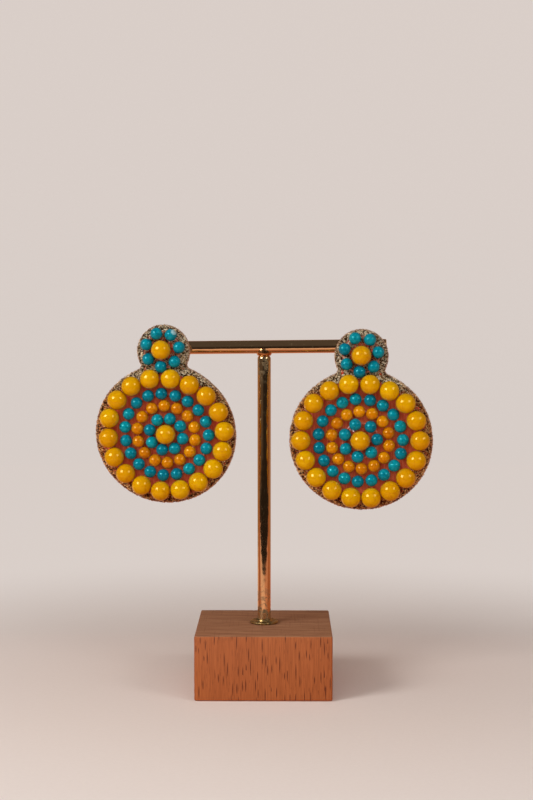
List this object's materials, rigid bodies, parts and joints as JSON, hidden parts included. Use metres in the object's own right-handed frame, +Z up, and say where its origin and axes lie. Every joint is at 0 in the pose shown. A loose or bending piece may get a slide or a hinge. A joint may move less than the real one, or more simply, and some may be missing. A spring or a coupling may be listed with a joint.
{
  "type": "pair of beaded stud earrings on a t-bar stand",
  "caption": "Pair of round two-disc bead-embroidered stud earrings with stitched edges, hung on a brass T-bar stand with a square beech foot.",
  "frame": {"origin": "middle of the wooden block's underside, on the table", "axes": "+Z up; +X to the viewer's right, square with the block's front face; -Y towards the viewer, the way the beads face"},
  "size_m": [0.1363, 0.0546, 0.1483],
  "materials": {
    "beech": "oiled, fine short flecks",
    "brass": "polished, lightly tarnished",
    "steel": "plain",
    "red_cloth": "fine woven cloth over felt",
    "metallic_thread": "metallic overcast stitches",
    "clear_thread": "nylon thread",
    "yellow_bead": "glossy, opaque",
    "teal_bead": "glossy, opaque, mottled",
    "orange_bead": "glossy, opaque"
  },
  "bodies": {
    "root": {"wood_block": "beech", "foot_flange": "brass", "t_bar": "brass", "left_base": "red_cloth", "left_edge_stitching": "metallic_thread", "left_rim_bead_01": "yellow_bead", "left_rim_bead_02": "yellow_bead", "left_rim_bead_03": "yellow_bead", "left_rim_bead_04": "yellow_bead", "left_rim_bead_05": "yellow_bead", "left_rim_bead_06": "yellow_bead", "left_rim_bead_07": "yellow_bead", "left_rim_bead_08": "yellow_bead", "left_rim_bead_09": "yellow_bead", "left_rim_bead_10": "yellow_bead", "left_rim_bead_11": "yellow_bead", "left_rim_bead_12": "yellow_bead", "left_rim_bead_13": "yellow_bead", "left_rim_bead_14": "yellow_bead", "left_rim_bead_15": "yellow_bead", "left_rim_bead_16": "yellow_bead", "left_rim_bead_17": "yellow_bead", "left_rim_bead_18": "yellow_bead", "left_centre_bead": "yellow_bead", "left_top_bead": "yellow_bead", "left_teal_outer": "teal_bead", "left_orange_ring": "orange_bead", "left_teal_inner": "teal_bead", "left_top_teal": "teal_bead", "left_bead_thread": "clear_thread", "left_ear_post": "steel", "right_base": "red_cloth", "right_edge_stitching": "metallic_thread", "right_rim_bead_01": "yellow_bead", "right_rim_bead_02": "yellow_bead", "right_rim_bead_03": "yellow_bead", "right_rim_bead_04": "yellow_bead", "right_rim_bead_05": "yellow_bead", "right_rim_bead_06": "yellow_bead", "right_rim_bead_07": "yellow_bead", "right_rim_bead_08": "yellow_bead", "right_rim_bead_09": "yellow_bead", "right_rim_bead_10": "yellow_bead", "right_rim_bead_11": "yellow_bead", "right_rim_bead_12": "yellow_bead", "right_rim_bead_13": "yellow_bead", "right_rim_bead_14": "yellow_bead", "right_rim_bead_15": "yellow_bead", "right_rim_bead_16": "yellow_bead", "right_rim_bead_17": "yellow_bead", "right_rim_bead_18": "yellow_bead", "right_centre_bead": "yellow_bead", "right_top_bead": "yellow_bead", "right_teal_outer": "teal_bead", "right_orange_ring": "orange_bead", "right_teal_inner": "teal_bead", "right_top_teal": "teal_bead", "right_bead_thread": "clear_thread", "right_ear_post": "steel"}
  },
  "joints": []
}
